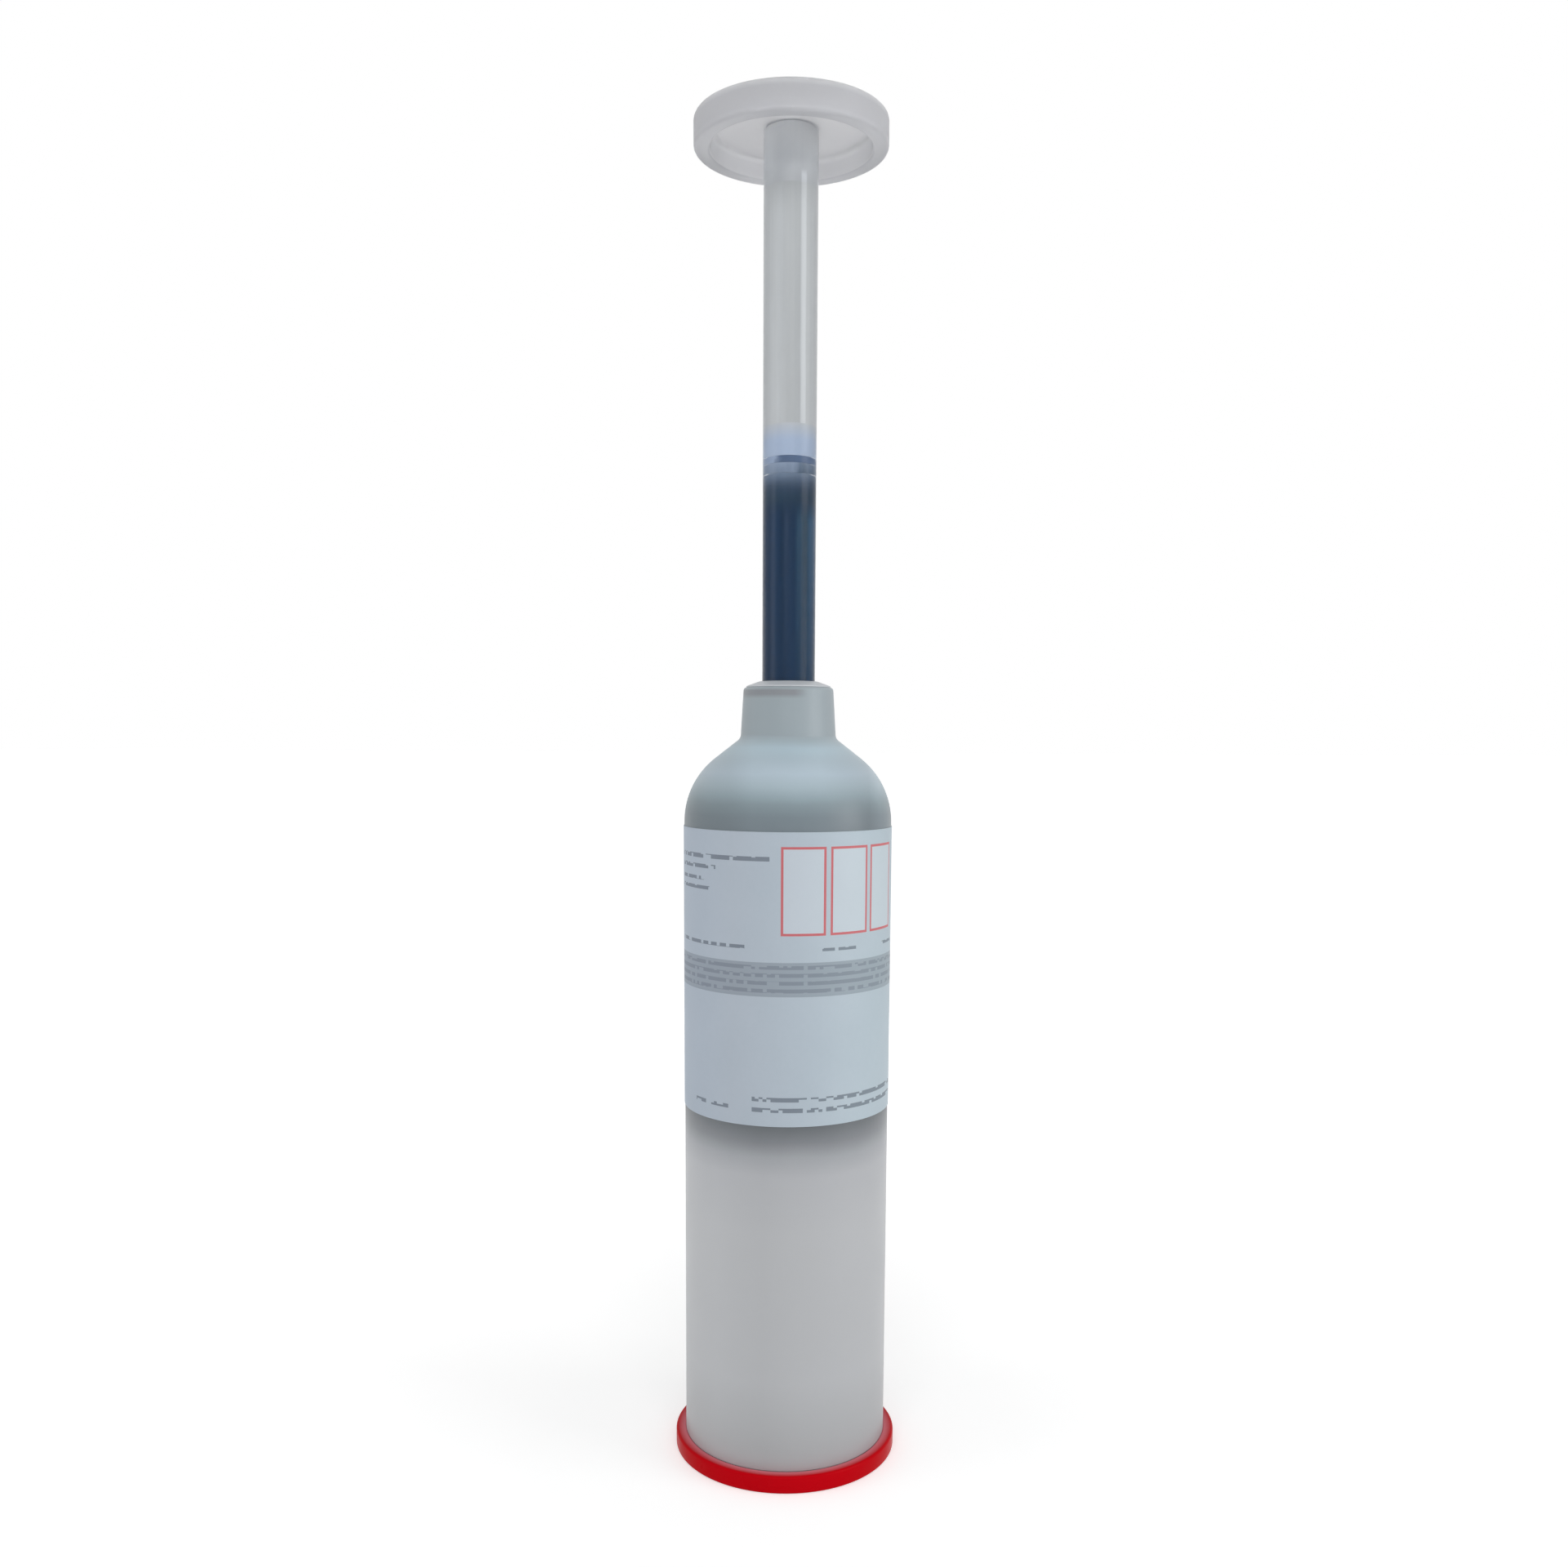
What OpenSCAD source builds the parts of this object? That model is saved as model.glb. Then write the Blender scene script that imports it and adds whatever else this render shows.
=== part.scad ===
// Two-part resin mixing cartridge: a barrel of resin with a base cap and a plunger, and a hollow
// mixing rod of hardener that slides and turns in the barrel's neck.
// The axis is +Z, and the origin is the centre of the base cap's underside.

/* [Base cap] */
// Thickness of the cap's rim
cap_wall = 2.6; // [1.2:0.1:3]
// Height of the cap's rim
cap_h = 4.2; // [3.2:0.1:8]
// Thickness of the cap's floor
cap_floor = 1.8; // [1:0.1:2.4]
// Rounding of the cap's outer edges
cap_edge = 0.6; // [0.2:0.1:1]

/* [Barrel] */
// Outside diameter of the barrel
barrel_od = 48; // [44:0.5:56]
// Wall of the barrel and its dome
barrel_wall = 1.75; // [1.2:0.05:2.5]
// Length of the straight barrel, from its open end to the shoulder
barrel_len = 149.5; // [130:0.5:190]
// Depth of the step that the cap's rim sits in
end_step = 0.3; // [0.1:0.05:0.5]
// Lead-in chamfer at the barrel's open end
bore_lead = 0.6; // [0.2:0.1:1]
// Radius of the dome's arc
dome_r = 18.5; // [12:0.5:20]
// Angle at which the arc runs into the cone below the neck
dome_angle = 52.2; // [40:0.2:60]
// Wall of the neck at its top
neck_wall = 3; // [2:0.1:4]
// How much wider the neck is at its root, on the radius
neck_taper = 0.7; // [0:0.1:1]
// Height of the neck above the dome
neck_h = 11.6; // [10:0.1:18]
// Rounding of the neck's top edge
neck_edge = 0.7; // [0.2:0.1:1]

/* [Label] */
// Height of the label
label_h = 65.4; // [40:0.2:80]
// Thickness of the label
label_t = 0.12; // [0.08:0.01:0.2]
// Thickness of the glue under the label
label_glue = 0.04; // [0.02:0.01:0.1]
// Distance from the shoulder down to the label's top edge
label_drop = 0.9; // [0.5:0.1:20]
// Angle of the seam at the back that the label leaves open
label_seam = 14; // [4:1:40]

/* [Resin and plunger] */
// Height of the resin from the plunger's lip to the shoulder
resin_len = 69.5; // [60:0.1:90]
// Height of the plunger's skirt
plunger_h = 16; // [12:0.5:24]
// Wall of the plunger
plunger_wall = 1.8; // [1.2:0.1:3]
// How far the plunger's crown rises above its lip
crown_h = 4; // [2:0.1:6]
// Radius of the flat on top of the crown
crown_flat_r = 7; // [5:0.5:12]
// Height of each wiper lip
lip_h = 2; // [1:0.1:4]
// How far the plunger's waist stands back from its lips
lip_depth = 0.8; // [0.4:0.1:1.5]

/* [Mixing rod] */
// Outside diameter of the rod's tube
tube_od = 12.1; // [11:0.1:15]
// Wall of the rod's tube
tube_wall = 1.1; // [0.8:0.1:2]
// Length of the rod's tube
tube_len = 212.2; // [200:0.2:260]

/* [Handle] */
// Outside diameter of the disc handle
handle_od = 43; // [40:0.2:60]
// Height of the handle
handle_h = 6.7; // [6:0.1:12]
// Thickness of the handle's top plate
handle_plate = 2.2; // [1.8:0.1:3.5]
// Width of the handle's rim at its foot
handle_rim = 3.5; // [2:0.1:6]
// Draft of the rim's inner wall, on the radius
rim_draft = 0.6; // [0:0.1:1.5]
// Rounding of the handle's outer edges
handle_edge = 0.9; // [0.4:0.1:1.6]
// Length of the spigot that holds the tube
spigot_len = 12.5; // [6:0.5:20]
// Wall of the spigot
spigot_wall = 0.9; // [0.6:0.1:1.4]

/* [Neck bush] */
// Wall of the bush between rod and neck
bush_wall = 1.05; // [0.8:0.05:2]
// Length of the bush inside the neck
bush_len = 10.5; // [8:0.5:12]
// Height of the sloping lip on top of the neck
bush_lip_h = 1.4; // [0.8:0.1:3]
// How far the lip reaches over the neck's rim
bush_lip = 2.4; // [1:0.1:2.9]
// Thickness of the lip at its outer edge
bush_lip_edge = 0.3; // [0.2:0.1:0.7]

/* [Dasher] */
// Wall of the hub round the tube
hub_wall = 2.2; // [1.5:0.1:4]
// Thickness of the hub's floor
hub_floor = 2.4; // [1.8:0.1:4]
// Depth of the socket that takes the tube
socket_depth = 9; // [6:0.5:14]
// Gap between the dasher's ring and the barrel's bore
ring_gap = 1.05; // [0.6:0.05:3]
// Thickness of the dasher's ring
ring_wall = 1.4; // [1:0.1:2.5]
// Height of the dasher's ring
ring_h = 6; // [4:0.5:9]
// Number of vanes
vane_count = 6; // [4:1:8]
// Thickness of a vane
vane_t = 1.6; // [1:0.1:2.5]
// How far the vanes stand inside the ring's two faces
vane_inset = 0.5; // [0.2:0.1:1]
// Pitch of a vane from the upright
vane_pitch = 40; // [20:1:55]
// Distance from the plunger's crown up to the dasher
dasher_gap = 3; // [3:0.1:8]

/* [Dasher valve] */
// Radius of the valve's cap
valve_r = 4; // [3.6:0.1:5]
// Thickness of the valve's cap
valve_t = 0.9; // [0.6:0.1:1.2]
// Radius of the valve's stem
stem_r = 1.2; // [0.9:0.1:1.3]
// How far the valve can lift off its seat
valve_lift = 1.2; // [0.8:0.1:1.4]
// Height of the barb that keeps the stem in its hole
barb_h = 1.4; // [1:0.1:2]
// How much wider the barb is than the stem
barb_step = 0.6; // [0.4:0.1:0.8]
// Radius of a port under the valve's cap
port_r = 0.7; // [0.4:0.05:0.7]
// Number of ports
port_count = 6; // [3:1:6]

/* [Hardener and piston] */
// Height of the hardener in the tube
hardener_h = 134; // [100:0.5:165]
// Height of the hardener piston
piston_h = 12; // [10:0.5:18]
// Height of the seal above the piston's foot
seal_up = 4.2; // [3:0.1:7]
// Thickness of the seal ring
seal_t = 1.5; // [1:0.1:2]
// Depth of the cup that takes a ramrod's tip
cup_depth = 4; // [2:0.5:5]
// Wall of that cup
cup_wall = 0.9; // [0.7:0.1:2]
// Height of the piston's tapered foot
foot_h = 1.2; // [0.6:0.1:2]

/* [Hidden] */
// Radial play of the cap on the barrel
cap_fit = 0.1;
// Radial play of the rod in its bush, and of the bush in the neck
rod_fit = 0.1;
bush_fit = 0.1;
// Radial play of the plunger, the piston, the spigot and the dasher's socket
plunger_fit = 0.05;
piston_fit = 0.05;
spigot_fit = 0.05;
socket_fit = 0.05;
// Radial play of the valve's stem in its hole
stem_fit = 0.15;
// Film between a fluid and the wall that holds it
fluid_gap = 0.05;
// Room that the resin leaves round the dasher and the rod
sweep_gap = 0.3;
// Room between the cap's rim and the step above it
step_gap = 0.3;
// How far a cut runs past the face that it opens
overrun = 1;
// Sides of a drawn circle, and steps in an arc
facets = 96;
arc_steps = 10;

// Heights and radii of the barrel
barrel_r = barrel_od / 2;
bore_r = barrel_r - barrel_wall;
end_r = barrel_r - end_step;
step_z = cap_h + step_gap;
shoulder_z = cap_floor + barrel_len;
dome_axis_r = barrel_r - dome_r;
tube_r = tube_od / 2;
tube_ir = tube_r - tube_wall;
bush_bore_r = tube_r + rod_fit;
bush_r = bush_bore_r + bush_wall;
neck_bore_r = bush_r + bush_fit;
neck_top_r = neck_bore_r + neck_wall;
neck_base_r = neck_top_r + neck_taper;
neck_z = cone_z(dome_r, neck_base_r);
neck_top_z = neck_z + neck_h;

// Heights of the plunger, the dasher, the rod and the handle
lip_z = shoulder_z - resin_len;
plunger_r = bore_r - plunger_fit;
hub_z = lip_z + crown_h + dasher_gap;
hub_r = tube_r + socket_fit + hub_wall;
hub_top_z = hub_z + hub_floor + socket_depth;
ring_r = bore_r - ring_gap;
ring_top_z = hub_z + ring_h;
tube_z = hub_z + hub_floor;
tube_top_z = tube_z + tube_len;
handle_r = handle_od / 2;
handle_top_z = tube_top_z + handle_plate;
handle_z = handle_top_z - handle_h;
spigot_r = tube_ir - spigot_fit;
ramrod_r = spigot_r - spigot_wall;

// Heights of the valve, the hardener and the piston
stem_hole_r = stem_r + stem_fit;
barb_z = tube_z + valve_lift;
port_circle_r = (stem_hole_r + valve_r) / 2;
hardener_z = barb_z + barb_h + sweep_gap;
piston_r = tube_ir - piston_fit;
piston_z = hardener_z + hardener_h;
seal_r = seal_t / 2;
seal_axis_r = piston_r - seal_r;

// Points along an arc about [x, z]
function arc(x, z, r, from, to) =
    [for (i = [0:arc_steps]) let (a = from + (to - from) * i / arc_steps) [x + r * cos(a), z + r * sin(a)]];

// Height at which the cone that leaves the dome's arc of radius r has narrowed to radius at_r
function cone_z(r, at_r) =
    shoulder_z + r * sin(dome_angle) + (dome_axis_r + r * cos(dome_angle) - at_r) / tan(dome_angle);

// Height of the plunger's crown at radius r
function crown_z(r) = lip_z + crown_h * (plunger_r - r) / (plunger_r - crown_flat_r);

// A profile of [radius, height] points turned about the axis
module turned(points) {
    rotate_extrude($fn = facets) polygon(points);
}

// Push-fit base cap: a flat floor with a low rim
module base_cap() {
    in_r = end_r + cap_fit;
    out_r = in_r + cap_wall;
    color([0.78, 0.05, 0.11]) turned(concat(
        [[0, 0]],
        arc(out_r - cap_edge, cap_edge, cap_edge, -90, 0),
        arc(out_r - cap_edge, cap_h - cap_edge, cap_edge, 0, 90),
        [[in_r, cap_h], [in_r, cap_floor], [0, cap_floor]]
    ));
}

// Barrel: an open tube with a domed shoulder and a tapered neck, in one moulding
module barrel() {
    inner_r = dome_r - barrel_wall;
    color([0.72, 0.74, 0.76]) turned(concat(
        [[bore_r + bore_lead, cap_floor], [end_r, cap_floor], [end_r, step_z], [barrel_r, step_z]],
        arc(dome_axis_r, shoulder_z, dome_r, 0, dome_angle),
        [[neck_base_r, neck_z]],
        arc(neck_top_r - neck_edge, neck_top_z - neck_edge, neck_edge, 0, 90),
        [[neck_bore_r, neck_top_z], [neck_bore_r, cone_z(inner_r, neck_bore_r)]],
        arc(dome_axis_r, shoulder_z, inner_r, dome_angle, 0),
        [[bore_r, cap_floor + bore_lead]]
    ));
}

// Label: a thin sleeve round the barrel with its seam at the back
module label() {
    label_top_z = shoulder_z - label_drop;
    color([0.76, 0.80, 0.83])
    rotate([0, 0, 90 + label_seam / 2])
    rotate_extrude(angle = 360 - label_seam, $fn = facets)
    translate([barrel_r + label_glue, label_top_z - label_h])
    square([label_t, label_h]);
}

// Resin: the column in the barrel, with room for the rod and for the turning dasher
module resin() {
    out_r = bore_r - fluid_gap;
    dome_in_r = dome_r - barrel_wall - fluid_gap;
    top_r = neck_bore_r - fluid_gap;
    rod_room_r = tube_r + sweep_gap;
    hub_room_r = hub_r + sweep_gap;
    ring_room_r = ring_r + sweep_gap;
    valve_room_r = valve_r + sweep_gap;
    valve_room_z = hub_z - valve_t - valve_lift - sweep_gap;
    color([0.42, 0.48, 0.51]) turned(concat(
        [
            [0, lip_z + crown_h + fluid_gap],
            [crown_flat_r, lip_z + crown_h + fluid_gap],
            [out_r, crown_z(out_r) + fluid_gap]
        ],
        arc(dome_axis_r, shoulder_z, dome_in_r, 0, dome_angle),
        [
            [top_r, cone_z(dome_in_r, top_r)],
            [rod_room_r, cone_z(dome_in_r, top_r)],
            [rod_room_r, hub_top_z + sweep_gap],
            [hub_room_r, hub_top_z + sweep_gap],
            [hub_room_r, ring_top_z + sweep_gap],
            [ring_room_r, ring_top_z + sweep_gap],
            [ring_room_r, hub_z - sweep_gap],
            [valve_room_r, hub_z - sweep_gap],
            [valve_room_r, valve_room_z],
            [0, valve_room_z]
        ]
    ));
}

// Base plunger: a cup with a low conical crown and two wiper lips
module base_plunger() {
    waist_r = plunger_r - lip_depth;
    in_r = waist_r - plunger_wall;
    foot_z = lip_z - plunger_h;
    color([0.85, 0.86, 0.87]) turned([
        [0, lip_z + crown_h],
        [crown_flat_r, lip_z + crown_h],
        [plunger_r, lip_z],
        [plunger_r, lip_z - lip_h],
        [waist_r, lip_z - lip_h - lip_depth],
        [waist_r, foot_z + lip_h + lip_depth],
        [plunger_r, foot_z + lip_h],
        [plunger_r, foot_z],
        [in_r, foot_z],
        [in_r, lip_z - plunger_wall],
        [crown_flat_r, lip_z + crown_h - plunger_wall],
        [0, lip_z + crown_h - plunger_wall]
    ]);
}

// Neck bush: guides and wipes the rod, with a sloping lip over the neck's rim
module neck_bush() {
    bush_z = neck_top_z - bush_len;
    lip_r = neck_bore_r + bush_lip;
    lip_top_z = neck_top_z + bush_lip_h;
    color([0.86, 0.87, 0.88]) turned([
        [bush_bore_r, bush_z],
        [bush_r, bush_z],
        [bush_r, neck_top_z],
        [lip_r, neck_top_z],
        [lip_r, neck_top_z + bush_lip_edge],
        [bush_bore_r + bush_wall / 2, lip_top_z],
        [bush_bore_r, lip_top_z]
    ]);
}

// Mixing tube: the rod itself, a plain hollow tube
module mixing_tube() {
    color([0.72, 0.73, 0.74]) turned([
        [tube_ir, tube_z], [tube_r, tube_z], [tube_r, tube_top_z], [tube_ir, tube_top_z]
    ]);
}

// Handle: a dished disc, open below, with a bored spigot that plugs the tube's top
module handle() {
    rim_in_r = handle_r - handle_rim;
    color([0.74, 0.75, 0.77]) turned(concat(
        [
            [ramrod_r, tube_top_z - spigot_len],
            [spigot_r, tube_top_z - spigot_len],
            [spigot_r, tube_top_z],
            [rim_in_r - rim_draft, tube_top_z],
            [rim_in_r, handle_z]
        ],
        arc(handle_r - handle_edge, handle_z + handle_edge, handle_edge, -90, 0),
        arc(handle_r - handle_edge, handle_top_z - handle_edge, handle_edge, 0, 90),
        [[ramrod_r, handle_top_z]]
    ));
}

// One pitched vane, from inside the hub's wall to inside the ring, trimmed level with the ring
module vane() {
    root = hub_r - hub_wall / 2;
    reach = ring_r - ring_wall / 2;
    plate_h = ring_h / cos(vane_pitch) + vane_t;
    intersection() {
        translate([root, 0, hub_z + ring_h / 2])
        rotate([vane_pitch, 0, 0])
        translate([0, -vane_t / 2, -plate_h / 2])
        cube([reach, vane_t, plate_h]);
        translate([0, 0, hub_z + vane_inset])
        cylinder(h = ring_h - 2 * vane_inset, r = reach, $fn = facets);
    }
}

// Dasher: the mixing head, a socketed hub carried by pitched vanes inside a wiping ring
module dasher() {
    color([0.82, 0.83, 0.84])
    difference() {
        union() {
            translate([0, 0, hub_z])
            cylinder(h = hub_top_z - hub_z, r = hub_r, $fn = facets);
            turned([
                [ring_r - ring_wall, hub_z],
                [ring_r - ring_wall / 2, hub_z],
                [ring_r, hub_z + ring_wall / 2],
                [ring_r, ring_top_z - ring_wall / 2],
                [ring_r - ring_wall / 2, ring_top_z],
                [ring_r - ring_wall, ring_top_z]
            ]);
            for (i = [0:vane_count - 1]) rotate([0, 0, i * 360 / vane_count]) vane();
        }
        translate([0, 0, tube_z])
        cylinder(h = socket_depth + overrun, r = tube_r + socket_fit, $fn = facets);
        translate([0, 0, hub_z - overrun])
        cylinder(h = hub_floor + 2 * overrun, r = stem_hole_r, $fn = facets);
        for (i = [0:port_count - 1])
            rotate([0, 0, i * 360 / port_count])
            translate([port_circle_r, 0, hub_z - overrun])
            cylinder(h = hub_floor + 2 * overrun, r = port_r, $fn = facets);
    }
}

// Dasher valve: a soft mushroom that covers the ports, kept by a barb above the hub's floor
module dasher_valve() {
    barb_r = stem_r + barb_step;
    color([0.35, 0.38, 0.42]) turned([
        [0, hub_z - valve_t],
        [stem_r, hub_z - valve_t],
        [valve_r, hub_z - valve_t / 2],
        [valve_r, hub_z],
        [stem_r, hub_z],
        [stem_r, barb_z],
        [barb_r, barb_z],
        [stem_r, barb_z + barb_h],
        [0, barb_z + barb_h]
    ]);
}

// Hardener: the column of fluid in the tube
module hardener() {
    color([0.13, 0.22, 0.32])
    translate([0, 0, hardener_z])
    cylinder(h = hardener_h, r = tube_ir - fluid_gap, $fn = facets);
}

// Hardener piston: a plug with a groove for its seal and a cup for a ramrod
module hardener_piston() {
    groove_r = piston_r - seal_t;
    seal_z = piston_z + seal_up;
    cup_r = piston_r - cup_wall;
    color([0.68, 0.73, 0.80]) turned([
        [0, piston_z],
        [piston_r - foot_h, piston_z],
        [piston_r, piston_z + foot_h],
        [piston_r, seal_z - seal_r],
        [groove_r, seal_z - seal_r],
        [groove_r, seal_z + seal_r],
        [piston_r, seal_z + seal_r],
        [piston_r, piston_z + piston_h],
        [cup_r, piston_z + piston_h],
        [cup_r, piston_z + piston_h - cup_depth],
        [0, piston_z + piston_h - cup_depth]
    ]);
}

// Piston seal: the ring in the piston's groove
module piston_seal() {
    color([0.30, 0.36, 0.45])
    translate([0, 0, piston_z + seal_up])
    rotate_extrude($fn = facets)
    translate([seal_axis_r, 0])
    circle(r = seal_r, $fn = facets);
}

base_cap();
barrel();
label();
resin();
base_plunger();
neck_bush();
mixing_tube();
handle();
dasher();
dasher_valve();
hardener();
hardener_piston();
piston_seal();
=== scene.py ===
# %% [markdown]
# # Dressing a two-part resin mixing cartridge
# The object stands on a red base cap. A milky barrel with a paper label holds resin, and a hollow
# rod with a disc handle holds a dark blue hardener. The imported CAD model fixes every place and
# every joint. This lesson adds what CAD leaves out: rounded edges, plastics, paper, fluids, and a
# small studio.

# %% Load the frame
import math

import bmesh
import bpy
from mathutils import Matrix, Vector


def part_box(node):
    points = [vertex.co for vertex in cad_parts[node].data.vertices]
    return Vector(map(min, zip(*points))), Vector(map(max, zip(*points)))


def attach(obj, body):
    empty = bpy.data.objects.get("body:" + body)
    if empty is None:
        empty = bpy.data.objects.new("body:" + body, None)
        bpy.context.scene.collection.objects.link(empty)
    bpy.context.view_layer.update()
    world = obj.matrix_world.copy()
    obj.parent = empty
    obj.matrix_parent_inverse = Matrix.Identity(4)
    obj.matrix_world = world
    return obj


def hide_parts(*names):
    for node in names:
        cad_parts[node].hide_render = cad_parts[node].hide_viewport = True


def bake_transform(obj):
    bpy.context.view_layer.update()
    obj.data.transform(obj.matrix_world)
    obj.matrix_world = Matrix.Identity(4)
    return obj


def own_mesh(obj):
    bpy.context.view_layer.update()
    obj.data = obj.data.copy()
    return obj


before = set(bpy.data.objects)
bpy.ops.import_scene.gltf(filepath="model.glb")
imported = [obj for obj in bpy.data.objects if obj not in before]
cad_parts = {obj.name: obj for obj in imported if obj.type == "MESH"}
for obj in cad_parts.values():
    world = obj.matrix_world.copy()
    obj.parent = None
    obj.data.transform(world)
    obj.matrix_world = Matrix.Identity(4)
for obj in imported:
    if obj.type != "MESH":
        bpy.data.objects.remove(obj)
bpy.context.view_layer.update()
MM = 0.001

# %% [markdown]
# ## Sizes come from the frame
# A dressed piece has to sit exactly where its CAD node is, so outer radii, feet and tops are read
# from each node's box. Typing them again would work today and go wrong at the next change of the
# CAD source.

# %% Read the boxes of the nodes
def span(node):
    """Outer radius, foot and top of a CAD node, in mm."""
    low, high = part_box(node)
    return [round(x / MM, 2) for x in (max(high.x, high.y), low.z, high.z)]


cap_r, cap_foot, cap_top = span("base_cap")
barrel_r, barrel_foot, neck_top = span("barrel")
label_r, label_foot, label_top = span("label")
tube_r, tube_foot, tube_top = span("mixing_tube")
handle_r, spigot_foot, handle_top = span("handle")
bush_r, bush_foot, bush_top = span("neck_bush")
_, fluid_foot, fluid_top = span("hardener")
_, piston_foot, piston_top = span("hardener_piston")
_, seal_foot, seal_top = span("piston_seal")
print("barrel r", barrel_r, "| label", label_foot, label_top, "| tube", tube_foot, tube_top)

# %% [markdown]
# ## A lathe
# Nearly every part of a cartridge is round, so one helper turns outlines. It lays a few vertices in
# the XZ plane, rounds the corners that have a rounding with a vertex bevel, and spins the wire
# about the axis. Cylinders with bevelled rims would also do, but an outline shows the whole section
# of a piece at a glance, as on a workshop drawing.

# %% Turn an outline
LATHE_SIDES = 160
ROUND_STEPS = 5
ROUND_PROFILE = 0.5
WELD = 1e-7
SHARP_ANGLE = math.radians(32)


def arc(centre_r, centre_z, radius, start, end, steps=20):
    """Outline points along an arc, from one angle to another in degrees."""
    angles = [math.radians(start + (end - start) * i / steps) for i in range(steps + 1)]
    return [(centre_r + radius * math.cos(a), centre_z + radius * math.sin(a), 0) for a in angles]


def round_corners(bm, corners, rounding, steps):
    """Rounds the corners of a wire or a sheet by so many mm."""
    bmesh.ops.bevel(bm, geom=corners, offset=rounding * MM, offset_type="OFFSET", affect="VERTICES",
                    segments=steps, profile=ROUND_PROFILE, material=-1)


def finish_mesh(name, bm):
    """Closes a bmesh's seams, turns its faces outwards and makes it a smooth-shaded object."""
    bmesh.ops.remove_doubles(bm, verts=bm.verts[:], dist=WELD)
    bmesh.ops.recalc_face_normals(bm, faces=bm.faces[:])
    mesh = bpy.data.meshes.new(name)
    bm.to_mesh(mesh)
    bm.free()
    mesh.shade_smooth()
    mesh.set_sharp_from_angle(angle=SHARP_ANGLE)
    piece = bpy.data.objects.new(name, mesh)
    bpy.context.scene.collection.objects.link(piece)
    print(name, len(mesh.polygons), "faces")
    return piece


def lathe(name, outline, hollow=False):
    """Turns an outline of (radius, height, rounding) in mm. A hollow one closes on itself."""
    bm = bmesh.new()
    dots = [bm.verts.new((r * MM, 0, z * MM)) for r, z, _ in outline]
    for a, b in zip(dots, dots[1:] + (dots[:1] if hollow else [])):
        bm.edges.new((a, b))
    for dot, (_, _, rounding) in zip(dots, outline):
        if rounding:
            round_corners(bm, [dot], rounding, ROUND_STEPS)
    bmesh.ops.spin(bm, geom=bm.verts[:] + bm.edges[:], axis=(0, 0, 1), cent=(0, 0, 0),
                   angle=math.tau, steps=LATHE_SIDES, use_merge=True)
    return finish_mesh(name, bm)


# %% [markdown]
# ## The base cap
# A soft red cap closes the barrel's open end. Its rim is low and thick, and its edges are rounded
# by the mould. Below, the floor is dished a little so that the cap stands on a ring and doesn't
# rock on its gate mark.

# %% Shape the base cap
cap_wall = 2.6
cap_floor_top, cap_in_r = barrel_foot, cap_r - cap_wall
cap_dish_r, cap_dish = 20.5, 0.3
gate_r, gate_foot = 1.6, cap_dish / 2
cap = lathe("cap", [
    (0, gate_foot, 0), (gate_r, gate_foot, 0.05), (gate_r, cap_dish, 0),
    (cap_dish_r, cap_dish, 0.2), (cap_dish_r + cap_dish, cap_foot, 0.1),
    (cap_r, cap_foot, 0.6), (cap_r, cap_top, 0.6), (cap_in_r, cap_top, 0.35),
    (cap_in_r, cap_floor_top, 0.4), (0, cap_floor_top, 0),
])
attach(cap, "base_cap")
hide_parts("base_cap")

# %% [markdown]
# ## The barrel
# One moulding makes the straight barrel, the dome and the neck. The outline goes up the outside,
# over the dome's arc and the cone to the neck, down the bore and back along the inside. A fillet at
# the neck's root is what the eye notices most here, because it carries a soft highlight.

# %% Shape the barrel
barrel_wall, bore_lead = 1.75, 0.6
end_step, cap_gap = 0.3, 0.06
end_r, step_z = barrel_r - end_step, cap_top + cap_gap
bore_r = barrel_r - barrel_wall
shoulder_z, dome_r, dome_turn = 151.3, 18.5, 52.2
dome_axis_r = barrel_r - dome_r
neck_height, neck_foot_r, neck_top_r = 11.6, 11.0, 10.3
neck_bore_r, neck_bore_foot = 7.3, 171.1
barrel = lathe("barrel_shell", [
    (bore_r + bore_lead, barrel_foot, 0), (end_r, barrel_foot, 0.2),
    (end_r, step_z, 0), (barrel_r, step_z, 0.12),
    *arc(dome_axis_r, shoulder_z, dome_r, 0, dome_turn),
    (neck_foot_r, neck_top - neck_height, 0.7), (neck_top_r, neck_top, 0.7),
    (neck_bore_r, neck_top, 0.3), (neck_bore_r, neck_bore_foot, 0),
    *arc(dome_axis_r, shoulder_z, dome_r - barrel_wall, dome_turn, 0),
    (bore_r, barrel_foot + bore_lead, 0),
], hollow=True)
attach(barrel, "barrel")
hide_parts("barrel")

# %% [markdown]
# ## The label
# A label is cut flat with rounded corners and then wrapped. The sheet is made the same way: one
# face, four bevelled corners, many upright cuts so that it can bend, and a wrap round the barrel on
# a thin film of glue. Its ends leave a gap at the back, as labels do on bottles.

# %% Cut and wrap the label
LABEL_PAPER = 0.12
LABEL_CORNER, LABEL_CORNER_STEPS = 2.4, 8
LABEL_CUT = 1.0
LABEL_SEAM = 14
label_in_r = label_r - LABEL_PAPER
label_half = math.radians(180 - LABEL_SEAM / 2) * label_in_r
label_height, label_middle = label_top - label_foot, (label_top + label_foot) / 2
sheet = bmesh.new()
bmesh.ops.create_grid(sheet, x_segments=1, y_segments=1, size=1)
bmesh.ops.scale(sheet, vec=(label_half * MM, label_height / 2 * MM, 1), verts=sheet.verts[:])
upright = Matrix.Rotation(math.pi / 2, 3, "X")
bmesh.ops.rotate(sheet, cent=(0, 0, 0), matrix=upright, verts=sheet.verts[:])
bmesh.ops.translate(sheet, vec=(0, 0, label_middle * MM), verts=sheet.verts[:])
round_corners(sheet, sheet.verts[:], LABEL_CORNER, LABEL_CORNER_STEPS)
cuts = int(2 * label_half / LABEL_CUT)
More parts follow.
